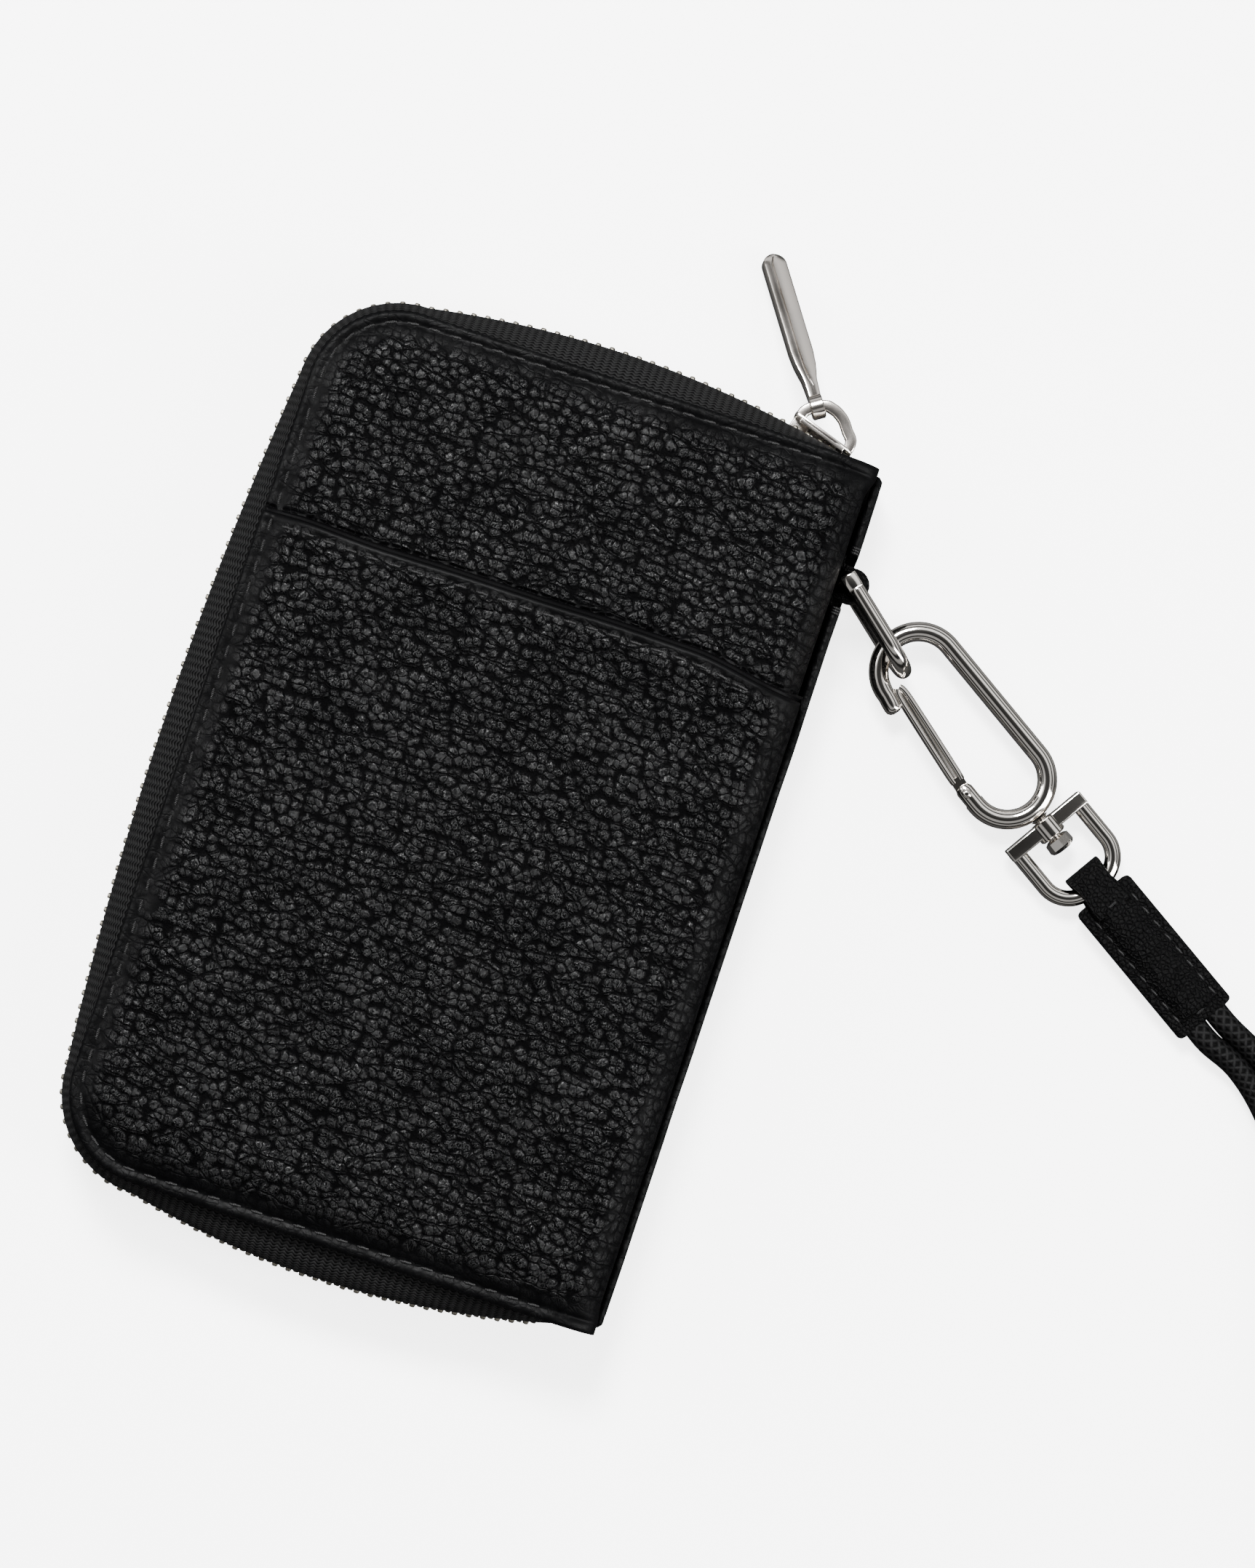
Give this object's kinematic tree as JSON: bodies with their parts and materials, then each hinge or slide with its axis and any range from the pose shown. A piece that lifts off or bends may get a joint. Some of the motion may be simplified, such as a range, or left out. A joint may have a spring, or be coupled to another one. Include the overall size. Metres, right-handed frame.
{
  "type": "wristlet wallet",
  "caption": "Zip-around pebbled leather wallet with a front slip pocket, card and phone pockets inside, and a wrist cord on a snap hook, swivel and side ring.",
  "frame": {"origin": "centre of the wallet's back face, which is the face it lies on", "axes": "+Z out of the back face through the thickness, +Y along the spine towards the parked slider, +X out of the spine"},
  "size_m": [0.2574, 0.1935, 0.0244],
  "materials": {
    "leather": "black pebbled leather with small glossy highlights on the pebbles",
    "lining_leather": "smooth black lining leather",
    "lining": "dark woven lining",
    "foam": "soft padding",
    "board": "stiffener board",
    "zip_tape": "black woven zip tape",
    "zip_metal": "dark nickel zip teeth",
    "nickel": "satin nickel",
    "chrome": "polished nickel plate",
    "spring_steel": "plain spring steel",
    "cord": "black braided cord"
  },
  "bodies": {
    "back_cover": {"back_panel": "leather", "back_board": "board", "back_lining": "lining", "spine_panel": "leather", "spine_lining": "lining", "note_pocket": "lining_leather", "card_slot_1": "lining_leather", "card_slot_2": "lining_leather", "card_slot_3": "lining_leather", "card_slot_4": "lining_leather", "gusset_top": "lining", "gusset_bottom": "lining", "ring_tab": "leather", "zip_tape_back": "zip_tape", "zip_teeth_back": "zip_metal", "top_stop_back": "zip_metal", "end_stop": "zip_metal"},
    "front_cover": {"front_panel": "leather", "front_pocket": "leather", "front_padding": "foam", "front_board": "board", "front_lining": "lining", "phone_pocket": "lining", "zip_tape_front": "zip_tape", "zip_teeth_front": "zip_metal", "top_stop_front": "zip_metal"},
    "divider": {"coin_divider": "lining_leather"},
    "slider": {"slider_body": "nickel", "slider_bail": "nickel"},
    "puller": {"zip_puller": "nickel"},
    "ring": {"d_ring": "chrome"},
    "hook": {"snap_hook": "chrome", "gate_pin": "spring_steel", "swivel_pin": "chrome"},
    "gate": {"hook_gate": "chrome", "gate_spring": "spring_steel"},
    "swivel": {"swivel_eye": "chrome"},
    "strap": {"strap_tab": "leather", "wrist_cord": "cord"}
  },
  "joints": [
    {"name": "front_cover_hinge", "type": "hinge", "parent": "back_cover", "child": "front_cover", "pos_m": [0.047, 0, 0.0146], "axis": [0, 1, 0], "range_deg": [0, 80], "deforming": ["gusset_top", "gusset_bottom"]},
    {"name": "divider_hinge", "type": "hinge", "parent": "back_cover", "child": "divider", "pos_m": [0.047, 0, 0.0146], "axis": [0, 1, 0], "range_deg": [0, 40]},
    {"name": "slider_travel", "type": "hinge", "parent": "back_cover", "child": "slider", "pos_m": [0, -0.0943, 0.01055], "axis": [0, 0, 1], "range_deg": [0, 20.5]},
    {"name": "puller_swing", "type": "hinge", "parent": "slider", "child": "puller", "pos_m": [0.03363, 0.08331, 0.01055], "axis": [0.8329, 0.5534, 0], "range_deg": [-60, 110]},
    {"name": "ring_swing", "type": "hinge", "parent": "back_cover", "child": "ring", "pos_m": [0.0488, 0.0566, 0.0074], "axis": [0, 0, 1], "range_deg": [-8, 65]},
    {"name": "hook_lift", "type": "hinge", "parent": "ring", "child": "hook", "pos_m": [0.05769, 0.04914, 0.0054], "axis": [-0.5299, -0.848, 0], "range_deg": [0, 70]},
    {"name": "gate_open", "type": "hinge", "parent": "hook", "child": "gate", "pos_m": [0.07836, 0.02962, 0.00431], "axis": [-0.0332, 0.0207, -0.9992], "range_deg": [0, 22], "stiffness_Nm_per_rad": 0.004},
    {"name": "swivel_spin", "type": "hinge", "parent": "hook", "child": "swivel", "pos_m": [0.09173, 0.02952, 0.00386], "axis": [0.8474, -0.5295, -0.0391], "continuous": true},
    {"name": "strap_swing", "type": "hinge", "parent": "swivel", "child": "strap", "pos_m": [0.1041, 0.02179, 0.00329], "axis": [-0.5299, -0.848, 0], "range_deg": [0, 70]}
  ],
  "couplings": [
    {"joint": "divider_hinge", "follows": "front_cover_hinge", "ratio": 0.5}
  ]
}
